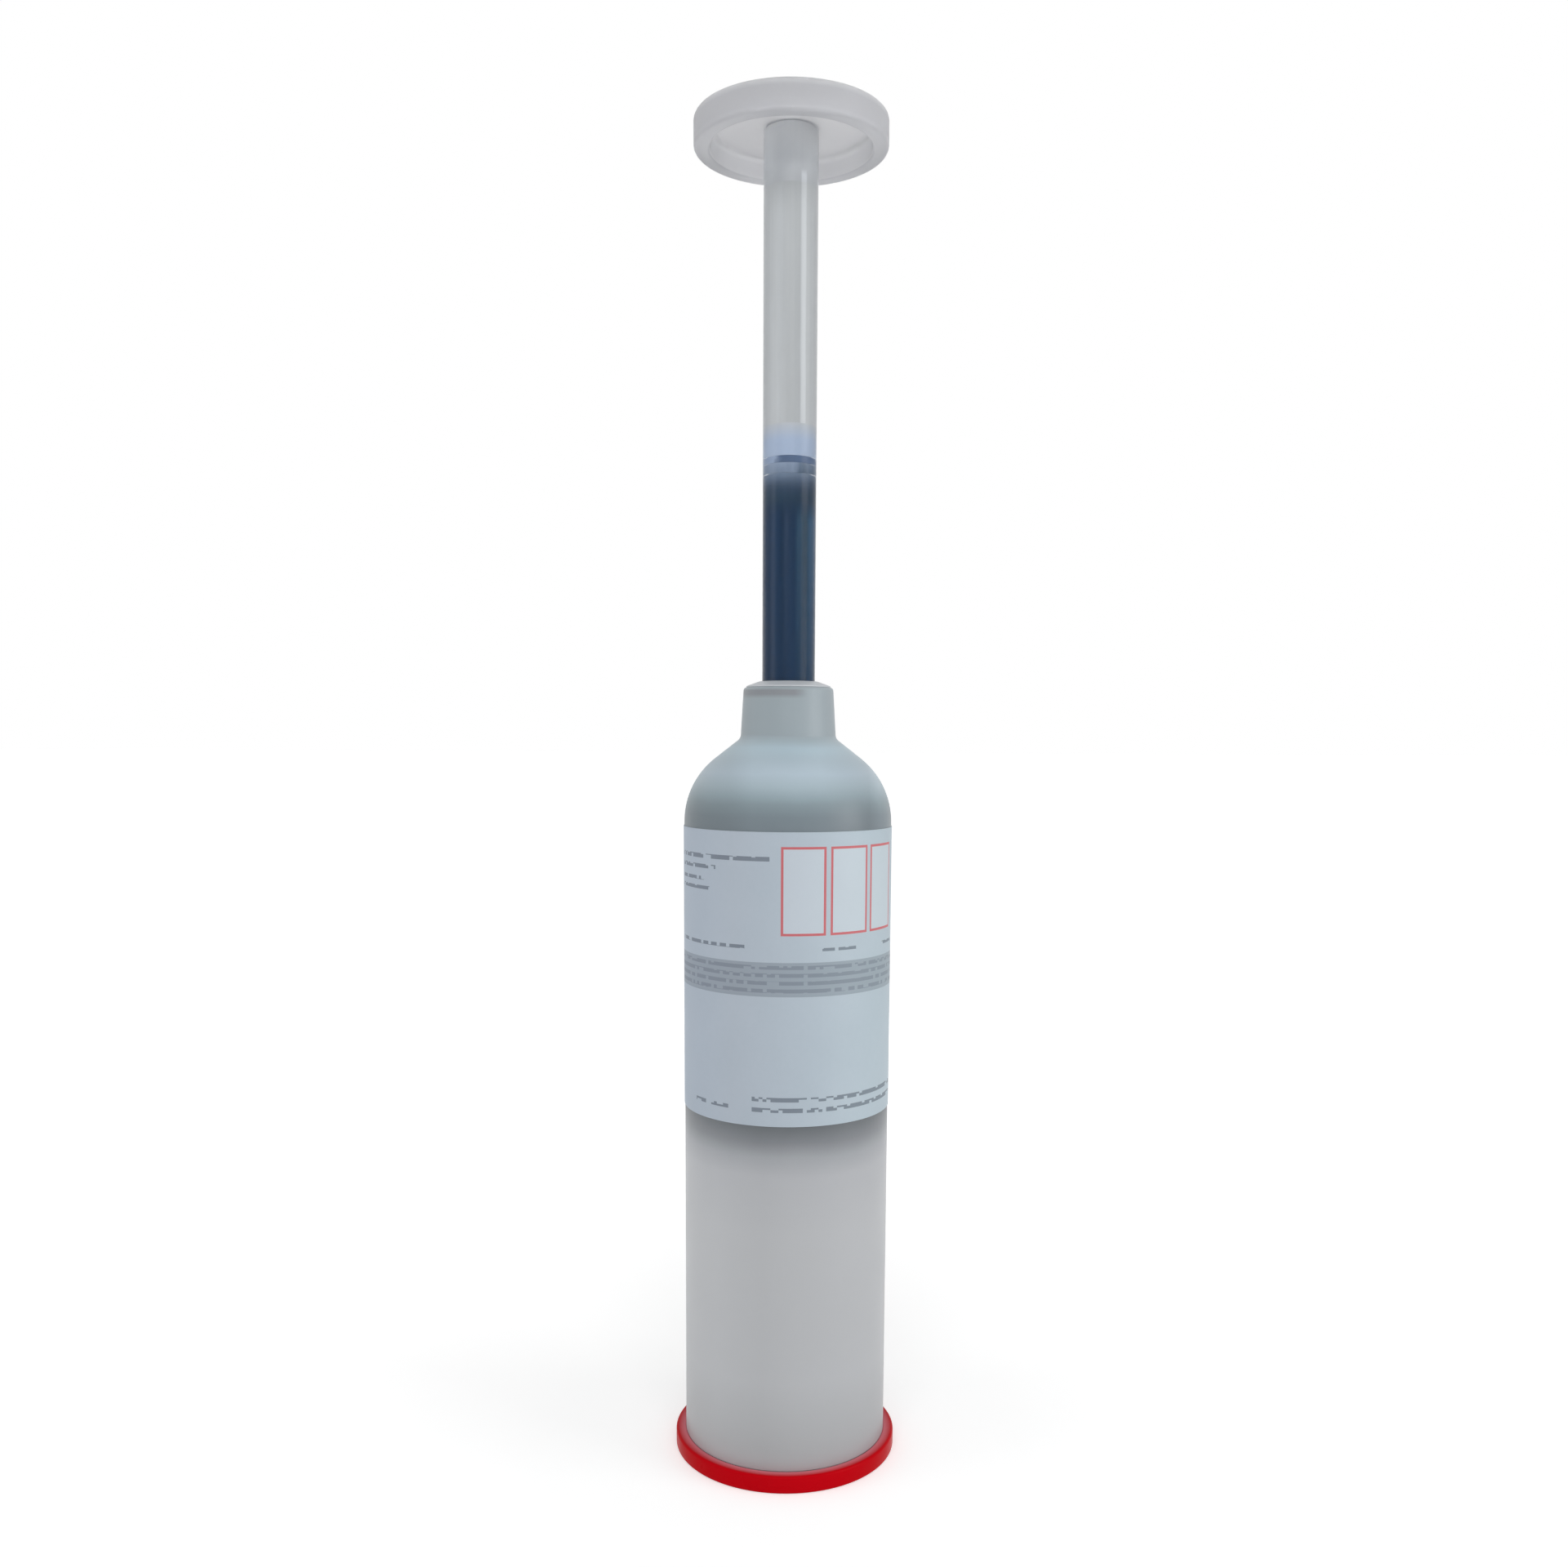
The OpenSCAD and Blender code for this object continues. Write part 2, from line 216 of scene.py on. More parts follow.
for i in range(1, cuts):
    at = (-label_half + 2 * label_half * i / cuts) * MM
    bmesh.ops.bisect_plane(sheet, geom=sheet.verts[:] + sheet.edges[:] + sheet.faces[:], dist=WELD,
                           plane_co=(at, 0, 0), plane_no=(1, 0, 0))
for dot in sheet.verts:
    turn = dot.co.x / (label_in_r * MM)
    dot.co = Vector((math.sin(turn) * label_in_r * MM, -math.cos(turn) * label_in_r * MM, dot.co.z))
sheet.normal_update()
inward = [f for f in sheet.faces if f.normal.xy.dot(f.calc_center_median().xy) < 0]
bmesh.ops.reverse_faces(sheet, faces=inward)
bmesh.ops.solidify(sheet, geom=sheet.faces[:], thickness=-LABEL_PAPER * MM)
label = finish_mesh("label_sheet", sheet)
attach(label, "barrel")
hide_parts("label")
print("label, flat, in mm:", round(2 * label_half, 1), "by", round(label_height, 1))

# %% [markdown]
# ## The neck bush
# A pale bush guides the rod in the neck and wipes it. Only its lip shows, which slopes from the
# neck's rim up to the rod and throws a thin shadow on the neck.

# %% Shape the neck bush
bush_body_r, bush_play = 7.2, 0.1
bush_bore_r = tube_r + bush_play
lip_edge, lip_land = 0.3, 0.5
bush = lathe("bush", [
    (bush_bore_r, bush_foot, 0.2), (bush_body_r, bush_foot, 0.3), (bush_body_r, neck_top, 0),
    (bush_r, neck_top, 0.08), (bush_r, neck_top + lip_edge, 0.15),
    (bush_bore_r + lip_land, bush_top, 0.3), (bush_bore_r, bush_top, 0.2),
], hollow=True)
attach(bush, "neck_bush")
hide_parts("neck_bush")

# %% [markdown]
# ## The rod: a clear wall and a dry bore
# The rod is a drawn tube. Where the hardener wets its bore the wall looks clear, and above the
# piston the dry bore scatters light and looks milky. So the wall is clear all the way up, and a
# thin milky skin lines only the dry stretch, from the piston's top up to the handle's spigot. In
# use that stretch grows as the piston goes down. What touches the wall reaches into it by a hair,
# so that no gap shows through it.

# %% Shape the tube and its dry bore
tube_in_r = 4.95
SNUG = 0.02
snug_r = tube_in_r + SNUG
tube = lathe("tube_wall", [
    (tube_in_r, tube_foot, 0.2), (tube_r, tube_foot, 0.3),
    (tube_r, tube_top + SNUG, 0), (tube_in_r, tube_top + SNUG, 0),
], hollow=True)
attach(tube, "mixing_rod")
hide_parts("mixing_tube")

SKIN, SKIN_SLICES = 0.25, 40
skin_foot, skin_top = piston_top - SNUG, spigot_foot + SNUG
heights = [skin_foot + (skin_top - skin_foot) * i / SKIN_SLICES for i in range(SKIN_SLICES + 1)]
outside = [(snug_r, z, 0) for z in heights]
inside = [(tube_in_r - SKIN, z, 0) for z in reversed(heights)]
dry_bore = lathe("dry_bore", outside + inside, hollow=True)
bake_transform(dry_bore)

# %% [markdown]
# ## The handle
# The disc is a shallow dish, open below, with a bored spigot that plugs the tube. A moulder rounds
# its outer edges, drafts the rim and fillets the inside corner, and a small chamfer leads a ramrod
# into the bore.

# %% Shape the handle
rim_height, rim_wall, rim_draft = 6.7, 3.5, 0.6
rim_foot, rim_in_r, ceiling = handle_top - rim_height, handle_r - rim_wall, tube_top
ramrod_r, ramrod_lead = 4.0, 0.6
handle = lathe("handle_disc", [
    (ramrod_r, spigot_foot, 0.15), (snug_r, spigot_foot, 0), (snug_r, ceiling, 0),
    (rim_in_r - rim_draft, ceiling, 1.4), (rim_in_r, rim_foot, 0.7), (handle_r, rim_foot, 0.9),
    (handle_r, handle_top, 1.0), (ramrod_r + ramrod_lead, handle_top, 0.2),
    (ramrod_r, handle_top - ramrod_lead, 0.2),
], hollow=True)
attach(handle, "mixing_rod")
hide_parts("handle")

# %% [markdown]
# ## Hardener and piston
# The hardener is a dark column that creeps up round the piston's tapered foot; in use it shortens
# as the piston goes down. The piston is a plug with a groove for its seal and a cup for a ramrod.

# %% Shape the hardener and the piston
foot_r, foot_h = 3.7, 1.2
CREEP_GAP = 0.05
hardener = lathe("hardener_column", [
    (0, fluid_foot, 0), (snug_r, fluid_foot, 0.3), (snug_r, piston_foot + foot_h - CREEP_GAP, 0),
    (foot_r, fluid_top, 0), (0, fluid_top, 0),
])
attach(hardener, "mixing_rod")
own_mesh(hardener)
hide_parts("hardener")

groove_r, cup_r, cup_depth = 3.4, ramrod_r, 4.0
piston = lathe("piston_plug", [
    (0, piston_foot, 0), (foot_r, piston_foot, 0.1), (snug_r, piston_foot + foot_h, 0.2),
    (snug_r, seal_foot, 0.1), (groove_r, seal_foot, 0), (groove_r, seal_top, 0),
    (snug_r, seal_top, 0.1), (snug_r, piston_top, 0), (cup_r, piston_top, 0.2),
    (cup_r, piston_top - cup_depth, 0.4), (0, piston_top - cup_depth, 0),
])
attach(piston, "hardener_piston")
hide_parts("hardener_piston")

seal = lathe("seal_ring", [
    (groove_r, seal_foot, 0.1), (snug_r, seal_foot, 0.06),
    (snug_r, seal_top, 0.06), (groove_r, seal_top, 0.1),
], hollow=True)
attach(seal, "hardener_piston")
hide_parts("piston_seal")

# %% [markdown]
# ## Building finishes from nodes
# Every finish is a small tree of nodes round one Principled shader. A few helpers keep the trees
# short: they place a node, fill its sockets, do sums and mix colours. Colours are written as they
# are seen on a screen and turned into the linear values that Blender works with.

# %% Helpers for node trees
ACROSS, BACKWARD, UPWARD = 0, 1, 2


def seen(red, green, blue):
    """A screen colour, 0 to 255, as linear RGBA."""
    parts = [c / 255 for c in (red, green, blue)]
    return [*(c / 12.92 if c <= 0.04045 else ((c + 0.055) / 1.055) ** 2.4 for c in parts), 1]


def fill(tree, node, sockets):
    """Links or sets the sockets that are named."""
    for key, value in sockets.items():
        if isinstance(value, bpy.types.NodeSocket):
            tree.links.new(value, node.inputs[key])
        else:
            node.inputs[key].default_value = value


def put(tree, kind, sockets=None, **settings):
    """Adds a node, sets its properties and fills its sockets."""
    node = tree.nodes.new("ShaderNode" + kind)
    for key, value in settings.items():
        setattr(node, key, value)
    fill(tree, node, sockets or {})
    return node


def work_out(tree, operation, *values, clamp=False):
    """One step of arithmetic on sockets and numbers."""
    sockets = dict(enumerate(values))
    return put(tree, "Math", sockets, operation=operation, use_clamp=clamp).outputs[0]


def times(tree, first, second):
    """A product."""
    return work_out(tree, "MULTIPLY", first, second)


def fade(tree, length, start, end, low=0, high=1):
    """A number that runs from low to high while a length runs from start to end, in mm."""
    ends = {1: start * MM, 2: end * MM, 3: low, 4: high}
    return put(tree, "MapRange", {0: length, **ends}).outputs[0]


def along_axis(tree, place, axis):
    """One coordinate of a place."""
    return put(tree, "SeparateXYZ", {0: place}).outputs[axis]


def off_axis(tree, place):
    """How far a place is from the object's upright axis."""
    level_place = put(tree, "VectorMath", {0: place, 1: (1, 1, 0)}, operation="MULTIPLY").outputs[0]
    return put(tree, "VectorMath", {0: level_place}, operation="LENGTH").outputs["Value"]


def stretch(tree, place, share):
    """Coordinates that draw a texture out along the height; the smaller the share, the longer."""
    return put(tree, "Mapping", {"Vector": place, "Scale": (1, 1, share)}).outputs[0]


def noise(tree, place, scale, detail=2):
    """A noise, which swings about a half."""
    return put(tree, "TexNoise", {"Vector": place, "Scale": scale, "Detail": detail}).outputs[0]


def swing(tree, wave, reach, middle, clamp=False):
    """Lets a value swing with a noise."""
    off_half = work_out(tree, "SUBTRACT", wave, 0.5)
    return work_out(tree, "MULTIPLY_ADD", off_half, reach, middle, clamp=clamp)


def lift(tree, height, depth):
    """A bump so many mm deep."""
    return put(tree, "Bump", {"Height": height, "Distance": depth * MM, "Strength": 1}).outputs[0]


def blend_colours(tree, share, first, second, way="MIX"):
    """Mixes two colours by a share."""
    node = put(tree, "Mix", {0: share, 6: first, 7: second}, data_type="RGBA", blend_type=way)
    return node.outputs[2]


def tinted(tree, colour, tint, share=1):
    """Multiplies a colour by a tint."""
    return blend_colours(tree, share, colour, tint, "MULTIPLY")


def new_finish(name):
    """A material, its tree and its Principled shader, with the piece's own coordinates."""
    material = bpy.data.materials.new(name)
    material.use_nodes = True
    tree = material.node_tree
    place = put(tree, "TexCoord").outputs["Object"]
    return material, tree, tree.nodes["Principled BSDF"], place


def dress(material, *pieces):
    """Gives pieces one material."""
    for piece in pieces:
        piece.data.materials.clear()
        piece.data.materials.append(material)
    print(material.name, "on", [p.name for p in pieces])


# %% [markdown]
# ## Moulded skin, a group
# All the plastics here came out of moulds, so they share one effect: a faint cloudiness, a gloss
# that wanders a little, and a fine skin. A node group makes that once, and each plastic sets its
# own grain and gloss.

# %% Build the moulded skin
def new_group(name, inputs, outputs):
    """An empty shader node group with named float or vector sockets."""
    tree = bpy.data.node_groups.new(name, "ShaderNodeTree")
    for socket, kind in inputs:
        tree.interface.new_socket(socket, in_out="INPUT", socket_type=kind)
    for socket, kind in outputs:
        tree.interface.new_socket(socket, in_out="OUTPUT", socket_type=kind)
    return tree, tree.nodes.new("NodeGroupInput").outputs, tree.nodes.new("NodeGroupOutput").inputs


FLOAT, VECTOR = "NodeSocketFloat", "NodeSocketVector"
PATCH_SCALE, CLOUD_SCALE = 90, 22
moulded_skin, skin_in, skin_out = new_group(
    "moulded skin",
    [("Place", VECTOR), ("Grain", FLOAT), ("Gloss", FLOAT), ("Wander", FLOAT)],
    [("Roughness", FLOAT), ("Height", FLOAT), ("Cloud", FLOAT)],
)
patches = noise(moulded_skin, skin_in["Place"], PATCH_SCALE, detail=3)
roughness = swing(moulded_skin, patches, skin_in["Wander"], skin_in["Gloss"], clamp=True)
moulded_skin.links.new(roughness, skin_out["Roughness"])
moulded_skin.links.new(noise(moulded_skin, skin_in["Place"], skin_in["Grain"]), skin_out["Height"])
moulded_skin.links.new(noise(moulded_skin, skin_in["Place"], CLOUD_SCALE), skin_out["Cloud"])
print("group:", moulded_skin.name)


def add_skin(tree, shader, place, grain, gloss, wander, depth):
    """Places the moulded skin in a material; returns its cloud for the colour."""
    sockets = {"Place": place, "Grain": grain, "Gloss": gloss, "Wander": wander}
    skin = put(tree, "Group", sockets, node_tree=moulded_skin).outputs
    bump = lift(tree, skin["Height"], depth)
    fill(tree, shader, {"Roughness": skin["Roughness"], "Normal": bump})
    return skin["Cloud"]


# %% [markdown]
# ## Red plastic
# The cap is a saturated red with a smooth gloss. Its cloud only shifts the red a little, as pigment
# does in a moulding. The milky barrel above throws its light on the rim's top, which looks pink
# there; two masks, by the height and by the distance from the axis, give that tint.

# %% Finish the cap
red_plastic, tree, shader, place = new_finish("red plastic")
cloud = add_skin(tree, shader, place, grain=2500, gloss=0.3, wander=0.25, depth=0.01)
reds, pink = blend_colours(tree, cloud, seen(184, 2, 13), seen(202, 5, 21)), seen(222, 122, 132)
rim_top = fade(tree, along_axis(tree, place, UPWARD), cap_top - 0.4, cap_top)
inner_rim = fade(tree, off_axis(tree, place), cap_r - 0.4, cap_in_r + 0.6)
fill(tree, shader, {
    "Base Color": blend_colours(tree, times(tree, rim_top, inner_rim), reds, pink),
    "Specular IOR Level": 0.03,
})
dress(red_plastic, cap)

# %% [markdown]
# ## Milky plastic over resin
# Natural polyethylene is milky, and what stands behind it tints it. Below the plunger the barrel is
# empty and pale, with painted shade near its foot; the resin shows as a darker band where it
# touches the wall, partly painted shade where it ends under the label, and the dome above it is
# lighter with painted light from above. Real translucency would cost a great deal of light in a
# closed barrel, so the tint follows the height in the piece's own coordinates, with a noise that
# keeps the edges of the bands from being ruled lines. A second tint runs across the barrel and is
# painted light and shade: lighter on the left of the straight part, as a milky wall carries some
# light round to its shaded side, and darker towards the dome's edges. A third is a painted shadow
# of the bush's lip, on the side away from the strongest lamp.

# %% Finish the barrel
EDGE_SCALE = 70


def tint_along(tree, place, axis, stops, wobble=0.3):
    """A colour that follows one axis by (place in mm, colour) stops, whose edges wobble by mm."""
    low, high = stops[0][0], stops[-1][0]
    wobbly = swing(tree, noise(tree, place, EDGE_SCALE), wobble * MM, along_axis(tree, place, axis))
    ramp = put(tree, "ValToRGB", {0: fade(tree, wobbly, low, high)})
    elements = ramp.color_ramp.elements
    while len(elements) < len(stops):
        elements.new(0.5)
    for element, (at_mm, colour) in zip(elements, stops):
        element.position = (at_mm - low) / (high - low)
        element.color = colour
    return ramp.outputs[0]


def light_across(tree, place, stops):
    """Painted light and shade as a grey for multiplying that follows the side, given as (side in
    mm, share) stops.
    """
    greys = [(side, (share, share, share, 1)) for side, share in stops]
    return tint_along(tree, place, ACROSS, greys)


empty, painted_shade_foot = seen(184, 186, 189), seen(169, 171, 173)
wet_wall, neck_milk = seen(81, 87, 92), seen(148, 160, 166)
# Height stops: the darker foot is painted shade near the cap, the fade from 73 to 81 mm is the
# resin's lower edge partly deepened by painted shade under the label, and the dome's lighter stops
# from 160 mm up are painted light from above.
milk_tints_and_painted_light = [
    (0, painted_shade_foot), (9, painted_shade_foot), (25, empty), (60, empty), (73.3, seen(177, 179, 183)),
    (77.9, seen(156, 159, 164)), (81.2, seen(116, 120, 125)), (84.6, wet_wall), (86.4, wet_wall),
    (150.5, seen(100, 114, 122)), (153.5, seen(104, 119, 127)), (156.2, seen(120, 138, 145)),
    (157.6, seen(137, 156, 165)), (160, seen(162, 181, 190)), (162.8, seen(178, 196, 208)),
    (165.9, seen(171, 190, 201)), (168.2, seen(175, 197, 208)),
    (171.2, neck_milk), (182.7, neck_milk),
]
milky_barrel, tree, shader, place = new_finish("milky plastic over resin")
cloud = add_skin(tree, shader, place, grain=1800, gloss=0.42, wander=0.2, depth=0.012)
bands_and_painted_light = tint_along(tree, place, UPWARD, milk_tints_and_painted_light, wobble=1.5)
clouded = blend_colours(tree, times(tree, cloud, 0.16), bands_and_painted_light, seen(214, 219, 224))
# Painted light and shade across the barrel: lighter on the left of the straight part, darker
# towards the dome's edges.
painted_light_straight = light_across(tree, place, [
    (-24, 1.1), (-16, 1.1), (-5, 1.0), (5, 1.0), (17, 0.99), (23, 0.97),
])
painted_light_domed = light_across(tree, place, [
    (-20, 0.84), (-13, 0.88), (-8, 1.0), (7, 1.0), (11, 0.93), (18, 0.83), (20.5, 1.0),
])
on_dome = fade(tree, along_axis(tree, place, UPWARD), label_foot, shoulder_z)
with_painted_light = tinted(tree, clouded, blend_colours(tree, on_dome, painted_light_straight, painted_light_domed))
lit, shadow = (1, 1, 1, 1), (0.76, 0.7, 0.7, 1)
lip_shadow = tint_along(tree, place, UPWARD, [
    (neck_top - 2.7, lit), (neck_top - 1.7, shadow),
    (neck_top - 0.9, shadow), (neck_top - 0.2, lit),
])
unlit_side = fade(tree, along_axis(tree, place, ACROSS), 4.5, 1.5)
fill(tree, shader, {
    "Base Color": tinted(tree, with_painted_light, lip_shadow, share=unlit_side),
    "Subsurface Weight": 0.25, "Subsurface Radius": (1, 1, 1), "Subsurface Scale": 2 * MM,
    "Sheen Weight": 0.06,
})
dress(milky_barrel, barrel)

# %% [markdown]
# ## Label paper
# The print is drawn by arithmetic on the unrolled label: one axis runs along the paper, the other
# up it. A bar is two comparisons multiplied, a box is a bar with a smaller bar taken out. Rows of
# plain dashes stand where small print goes, red boxes where a label has fields to fill in, and a
# grey band runs all the way round.

# %% Draw the label's print
paper, tree, shader, place = new_finish("label paper")
axes = put(tree, "SeparateXYZ", {0: place}).outputs
front = times(tree, axes[BACKWARD], -1)
along = times(tree, work_out(tree, "ARCTAN2", axes[ACROSS], front), label_r)
upward = work_out(tree, "DIVIDE", axes[UPWARD], MM)


def bar(left, right, low, high):
    """A mask of one plain rectangle on the unrolled label, in mm."""
    wide = work_out(tree, "COMPARE", along, (left + right) / 2, (right - left) / 2)
    tall = work_out(tree, "COMPARE", upward, (low + high) / 2, (high - low) / 2)
    return times(tree, wide, tall)


def row(left, right, middle, thick):
    """A bar given by its middle height and its thickness."""
    return bar(left, right, middle - thick / 2, middle + thick / 2)


def together(masks):
    """The union of several masks."""
    whole = masks[0]
    for mask in masks[1:]:
        whole = work_out(tree, "MAXIMUM", whole, mask)
    return whole


FIELD_LINE, FIELD_WIDE = 0.55, 10.1
FIELD_FOOT, FIELD_TOP = 127.7, 147.2
FIELD_LEFTS = (-1.5, 9.7, 20.9)
fields, blanks = [], []
for left in FIELD_LEFTS:
    right = left + FIELD_WIDE
    outer = bar(left, right, FIELD_FOOT, FIELD_TOP)
    inner = bar(left + FIELD_LINE, right - FIELD_LINE,
                FIELD_FOOT + FIELD_LINE, FIELD_TOP - FIELD_LINE)
    fields.append(work_out(tree, "SUBTRACT", outer, inner))
    blanks.append(inner)

FRONT_ROWS = [
    (-33, -4, 144.5, 1.0), (-33, -17.5, 142.2, 0.9), (-33, -21.3, 139.5, 0.8),
    (-33, -19.4, 137.4, 0.8), (-33, -9.7, 125.1, 0.8), (7.8, 16.5, 124.6, 0.7),
    (26.3, 33, 124.6, 0.7), (-24.6, -13.8, 88.8, 0.9), (-7.9, 33.4, 91.1, 1.0),
    (-7.9, 33.4, 88.7, 1.0),
]
SIDE_BLOCKS = [(-66, -42, 145.7, 9), (42, 66, 109.4, 8)]
ROW_STEP, ROW_THICK = 2.2, 0.7
rows = [row(*sizes) for sizes in FRONT_ROWS]
for left, right, top, count in SIDE_BLOCKS:
    rows += [row(left, right, top - ROW_STEP * i, ROW_THICK) for i in range(count)]
BAND_HALF, BAND_FOOT, BAND_TOP = 80, 114.2, 121.8
BAND_ROWS, BAND_ROW_FOOT, BAND_ROW_STEP, BAND_ROW_THICK = 4, 115.5, 1.73, 0.85
band = bar(-BAND_HALF, BAND_HALF, BAND_FOOT, BAND_TOP)
band_heights = [BAND_ROW_FOOT + BAND_ROW_STEP * i for i in range(BAND_ROWS)]
band_rows = [row(-BAND_HALF, BAND_HALF, middle, BAND_ROW_THICK) for middle in band_heights]

WORD_WIDE, WORD_TALL, GAP_SHARE = 0.9, 0.8, 0.24
column = work_out(tree, "FLOOR", work_out(tree, "DIVIDE", along, WORD_WIDE))
level = work_out(tree, "FLOOR", work_out(tree, "DIVIDE", upward, WORD_TALL))
word_grid = put(tree, "CombineXYZ", {0: column, 1: level}).outputs[0]
chance = put(tree, "TexWhiteNoise", {0: word_grid}, noise_dimensions="2D").outputs[0]
words = work_out(tree, "GREATER_THAN", chance, GAP_SHARE)
print("label print:", len(rows), "rows,", len(fields), "fields")

# %% [markdown]
# The paper itself has a soft fibre: a noise that lightens and darkens it a little and lifts its
# surface by a few microns. The inks go on top in order: the blank fields, the grey band, its
# dashes, the rows, and the red lines of the fields. The last tint is the light, which is a little
# stronger on the right.

# %% Colour the label
fibre, mottle = noise(tree, place, scale=900, detail=4), noise(tree, place, scale=60)
printed = blend_colours(tree, mottle, seen(170, 183, 192), seen(180, 192, 201))
printed = blend_colours(tree, times(tree, fibre, 0.12), printed, seen(205, 213, 220))
inks = [
    (together(blanks), 0.35, seen(216, 222, 227)),
    (band, 1, seen(148, 159, 168)),
    (times(tree, together(band_rows), words), 0.8, seen(122, 132, 142)),
    (times(tree, together(rows), words), 0.75, seen(88, 98, 110)),
    (together(fields), 0.9, seen(196, 84, 88)),
]
for mask, strength, ink in inks:
    printed = blend_colours(tree, times(tree, mask, strength), printed, ink)
paper_light = tint_along(tree, place, ACROSS, [
    (-24, (1, 1, 1.06, 1)), (-12, (0.99, 0.97, 1, 1)),
    (2, (1, 1, 1.02, 1)), (20, (1.03, 1.06, 1.06, 1)),
])
fill(tree, shader, {
    "Base Color": tinted(tree, printed, paper_light),
    "Roughness": 0.55, "Normal": lift(tree, fibre, depth=0.01),
})
dress(paper, label)

# %% [markdown]
# ## White plastic
# The bush is natural polyethylene like the barrel, but thick and without contents, so it is simply
# pale. The plunger and the mixing head inside the barrel are the same stuff.

# %% Finish the bush and the inner parts
white_plastic, tree, shader, place = new_finish("white plastic")
cloud = add_skin(tree, shader, place, grain=2200, gloss=0.42, wander=0.2, depth=0.01)
fill(tree, shader, {
    "Base Color": blend_colours(tree, cloud, seen(186, 191, 196), seen(204, 208, 212)),
    "Subsurface Weight": 0.2, "Subsurface Radius": (1, 1, 1), "Subsurface Scale": 1 * MM,
})
dress(white_plastic, bush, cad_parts["base_plunger"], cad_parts["dasher"])

# %% [markdown]
# ## The clear tube
# A drawn tube has faint lines along its length from the die. The wall refracts, so the fluid seems
# to fill it to the edge. For shadow rays it is simply clear: otherwise the render would find the
# light that falls through it only by chance.

# %% Finish the tube wall
clear_wall, tree, shader, place = new_finish("clear tube wall")
die_lines = noise(tree, stretch(tree, place, share=0.004), scale=1500)
fill(tree, shader, {
    "Base Color": blend_colours(tree, die_lines, seen(236, 240, 244), seen(248, 250, 251)),
    "Roughness": work_out(tree, "MULTIPLY_ADD", die_lines, 0.1, 0.17),
    "Normal": lift(tree, die_lines, depth=0.004),
    "Transmission Weight": 1, "IOR": 1.25,
})
clear = put(tree, "BsdfTransparent").outputs[0]
shadow_ray = put(tree, "LightPath").outputs["Is Shadow Ray"]
pick = put(tree, "MixShader", {0: shadow_ray, 1: shader.outputs[0], 2: clear}).outputs[0]
fill(tree, tree.nodes["Material Output"], {"Surface": pick})
dress(clear_wall, tube)

# %% [markdown]
# ## The milky skin of the dry bore, and the handle
# Both are the same natural plastic. The bore carries upright streaks that the die and the piston
# have left, and across it painted light and shade with one painted highlight streak. The handle's
# tone follows its height, with a painted highlight along its top edge and a band round the rim's
# foot painted lighter, and painted light lightens its dish, less towards the back. Its plug is seen
# through the tube's wall, so it has a finish of its own: its tone is painted lighter towards the
# disc, painted shade darkens it on the right, and the bore's painted highlight streak runs on over
# its foot.

# %% Finish the dry bore and the handle
milky_bore, tree, shader, place = new_finish("dry bore")
marks = noise(tree, stretch(tree, place, share=0.012), scale=700, detail=3)
dry_tone = blend_colours(tree, marks, seen(182, 184, 186), seen(204, 206, 207))
# Painted light and shade across the bore, with one painted highlight streak at 2.3 to 3.1 mm on the
# right.
bore_light = light_across(tree, place, [
    (-5, 1.03), (-2.6, 1.04), (-1.2, 0.93), (-0.2, 0.8), (2.0, 0.8),
    (2.3, 1.02), (3.1, 1.02), (3.4, 0.8), (5, 0.84),
])
fill(tree, shader, {
    "Base Color": tinted(tree, dry_tone, bore_light),
    "Roughness": work_out(tree, "MULTIPLY_ADD", marks, 0.2, 0.4),
    "Specular IOR Level": 0,
})
dress(milky_bore, dry_bore)

milky_handle, tree, shader, place = new_finish("milky plastic")
cloud = add_skin(tree, shader, place, grain=1800, gloss=0.5, wander=0.2, depth=0.012)
painted_light_rim_foot, thin_web, painted_top_highlight = seen(220, 221, 225), seen(214, 215, 219), seen(240, 241, 243)
painted_light_in_dish, handle_cloud = seen(250, 250, 252), seen(190, 191, 196)
# Painted light along the height: a band round the rim's foot is painted lighter, and a painted
# highlight runs along the top edge.
web = tint_along(tree, place, UPWARD, [
    (spigot_foot, thin_web), (rim_foot - 0.4, painted_light_rim_foot), (rim_foot + 0.5, painted_light_rim_foot),
    (rim_foot + 1.5, thin_web), (handle_top - 1.7, thin_web), (handle_top - 0.6, painted_top_highlight),
], wobble=0.4)
# Painted light in the dish, weaker towards the back.
in_dish = work_out(tree, "LESS_THAN", off_axis(tree, place), (rim_in_r + 0.1) * MM)
dish_light = fade(tree, along_axis(tree, place, BACKWARD), 10, 16, low=0.92, high=0.6)
web = blend_colours(tree, times(tree, in_dish, dish_light), web, painted_light_in_dish)
fill(tree, shader, {
    "Base Color": blend_colours(tree, times(tree, cloud, 0.15), web, handle_cloud),
    "Transmission Weight": 0.55, "IOR": 1.35,
})
dress(milky_handle, handle)

milky_plug, tree, shader, place = new_finish("milky plug")
cloud = add_skin(tree, shader, place, grain=1800, gloss=0.5, wander=0.2, depth=0.012)
# The plug's tone is painted lighter towards the disc.
plug_tone_and_painted_light = tint_along(tree, place, UPWARD, [
    (spigot_foot, seen(184, 186, 189)), (spigot_foot + 6, seen(219, 221, 224)),
    (ceiling, seen(252, 252, 253)),
], wobble=0.5)
plug_tone_and_painted_light = blend_colours(tree, times(tree, cloud, 0.1), plug_tone_and_painted_light, handle_cloud)
